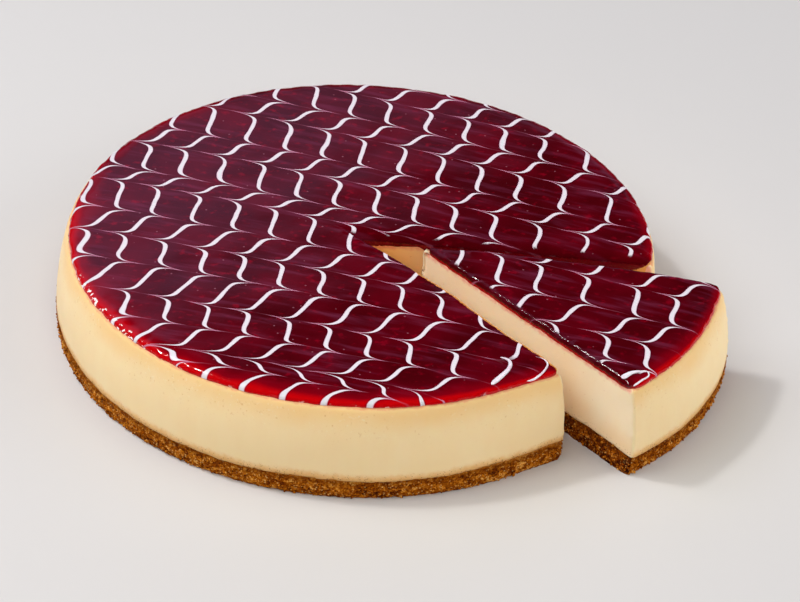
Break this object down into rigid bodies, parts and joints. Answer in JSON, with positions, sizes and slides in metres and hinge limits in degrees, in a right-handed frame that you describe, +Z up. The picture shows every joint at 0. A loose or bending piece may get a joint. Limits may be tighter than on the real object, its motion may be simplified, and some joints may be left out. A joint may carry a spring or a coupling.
{
  "type": "baked cheesecake",
  "caption": "Round baked cheesecake with a crumb base, pale cream filling and a glossy raspberry glaze feathered with white, and a slice drawn part of the way out.",
  "frame": {"origin": "under the middle of the bounding box of cake and slice together, on the surface they stand on", "axes": "+Z up, through the glaze; the slice is drawn out towards +X and a little towards -Y, and -Y is the side that the picture was taken from"},
  "size_m": [0.2803, 0.254, 0.0435],
  "materials": {
    "crumb_base": "baked biscuit crumb, rough and granular",
    "filling": "baked cream cheese, matt with a soft sheen",
    "glaze": "set raspberry jelly glaze with feathered white lines, very glossy",
    "white_icing": "thick ends of the piped white lines, glossy"
  },
  "bodies": {
    "root": {"cake_crumb_base": "crumb_base", "cake_filling": "filling", "cake_glaze": "glaze", "slice_crumb_base": "crumb_base", "slice_filling": "filling", "slice_glaze": "glaze"}
  },
  "joints": []
}
